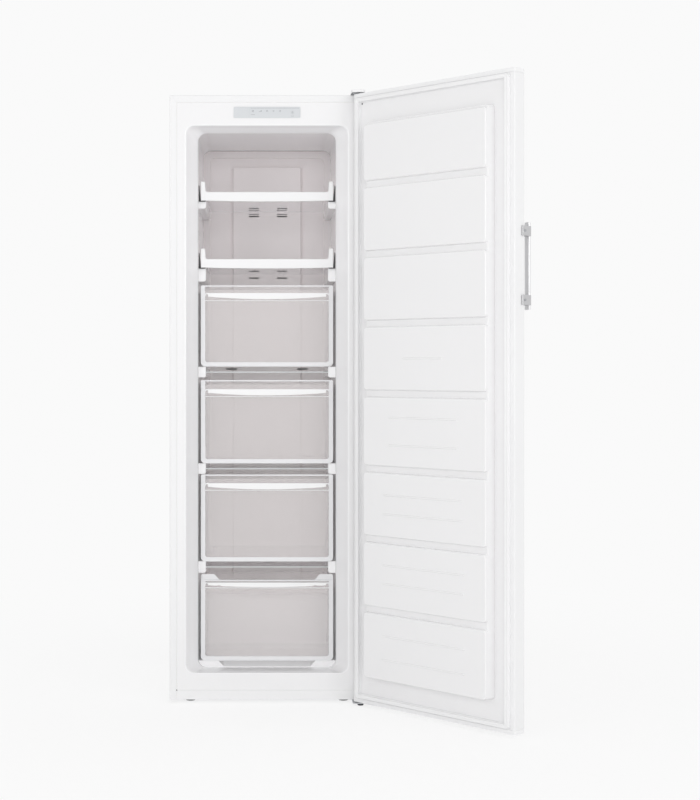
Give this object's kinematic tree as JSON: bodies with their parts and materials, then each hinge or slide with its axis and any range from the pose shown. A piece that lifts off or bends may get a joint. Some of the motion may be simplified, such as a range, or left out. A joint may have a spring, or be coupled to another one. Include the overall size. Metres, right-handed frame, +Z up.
{
  "type": "upright freezer",
  "caption": "Tall free-standing no-frost freezer with a side-hung door open, glass shelves above clear pull-out drawers, a bar handle and a control strip.",
  "frame": {"origin": "on the floor, under the middle of the bounding box of the whole freezer with its door open", "axes": "+X to the right as seen from the front, +Y from the front to the back, +Z up"},
  "size_m": [1.034, 1.0298, 1.8633],
  "materials": {
    "white_paint": "satin",
    "white_plastic": "satin",
    "liner_plastic": "satin",
    "grey_panel": "satin",
    "clear_plastic": "gloss",
    "clear_glass": "polished",
    "zinc_steel": "satin",
    "handle_metal": "satin",
    "gasket_rubber": "matte",
    "black_plastic": "matte",
    "black_enamel": "gloss",
    "copper": "satin",
    "fin_aluminium": "satin",
    "foam": "matte",
    "circuit_board": "satin"
  },
  "bodies": {
    "cabinet": {"outer_shell": "white_paint", "back_panel": "white_paint", "base_pan": "zinc_steel", "front_crossbar": "white_paint", "cabinet_liner": "liner_plastic", "insulation": "foam", "compressor_bay_panel": "zinc_steel", "duct_cover": "white_plastic", "evaporator": "fin_aluminium", "evaporator_bracket": "zinc_steel", "defrost_heater": "zinc_steel", "drain_gutter": "white_plastic", "fan_motor": "black_plastic", "compressor": "black_enamel", "relay_box": "black_plastic", "evaporating_dish": "black_plastic", "filter_drier": "copper", "discharge_pipe": "copper", "suction_pipe": "copper", "terminal_box": "black_plastic", "control_panel": "grey_panel", "control_board": "circuit_board", "top_hinge_bracket": "zinc_steel", "top_hinge_pin": "zinc_steel", "top_hinge_cover": "white_plastic", "bottom_hinge_bracket": "zinc_steel", "bottom_hinge_pin": "black_plastic", "front_foot_left": "black_plastic", "rear_foot_left": "black_plastic", "front_foot_right": "black_plastic", "rear_foot_right": "black_plastic", "glass_shelf_1": "clear_glass", "shelf_rail_1": "white_plastic", "glass_shelf_2": "clear_glass", "shelf_rail_2": "white_plastic", "glass_plate_1": "clear_glass", "glass_plate_2": "clear_glass", "glass_plate_3": "clear_glass"},
    "door": {"door_skin": "white_paint", "door_top_cap": "white_plastic", "door_bottom_cap": "white_plastic", "top_hinge_bush": "black_plastic", "bottom_hinge_bush": "black_plastic", "door_stop_plate": "zinc_steel", "door_liner": "liner_plastic", "door_foam": "foam", "door_gasket": "gasket_rubber", "handle_bracket_upper": "handle_metal", "handle_bracket_lower": "handle_metal", "handle_bar": "handle_metal"},
    "drawer_1": {"drawer_1_front": "clear_plastic", "drawer_1_tub": "clear_plastic"},
    "drawer_2": {"drawer_2_front": "clear_plastic", "drawer_2_tub": "clear_plastic"},
    "drawer_3": {"drawer_3_front": "clear_plastic", "drawer_3_tub": "clear_plastic"},
    "drawer_4": {"drawer_4_front": "clear_plastic", "drawer_4_tub": "clear_plastic"},
    "evaporator_fan": {"evaporator_fan": "white_plastic"},
    "control_button": {"control_button": "grey_panel"}
  },
  "joints": [
    {"name": "door_hinge", "type": "hinge", "parent": "cabinet", "child": "door", "pos_m": [0.06396, -0.09412, 0.01], "axis": [0, 0, 1], "range_deg": [-135, 0]},
    {"name": "drawer_1_slide", "type": "slide", "parent": "cabinet", "child": "drawer_1", "axis": [0, -1, 0], "range_m": [0, 0.3]},
    {"name": "drawer_2_slide", "type": "slide", "parent": "cabinet", "child": "drawer_2", "axis": [0, -1, 0], "range_m": [0, 0.3]},
    {"name": "drawer_3_slide", "type": "slide", "parent": "cabinet", "child": "drawer_3", "axis": [0, -1, 0], "range_m": [0, 0.3]},
    {"name": "drawer_4_slide", "type": "slide", "parent": "cabinet", "child": "drawer_4", "axis": [0, -1, 0], "range_m": [0, 0.22]},
    {"name": "button_press", "type": "slide", "parent": "cabinet", "child": "control_button", "axis": [0, 1, 0], "range_m": [0, 0.001], "stiffness_N_per_m": 1200},
    {"name": "fan_spin", "type": "hinge", "parent": "cabinet", "child": "evaporator_fan", "pos_m": [-0.21954, 0.38688, 0.63], "axis": [0, 1, 0], "continuous": true}
  ]
}
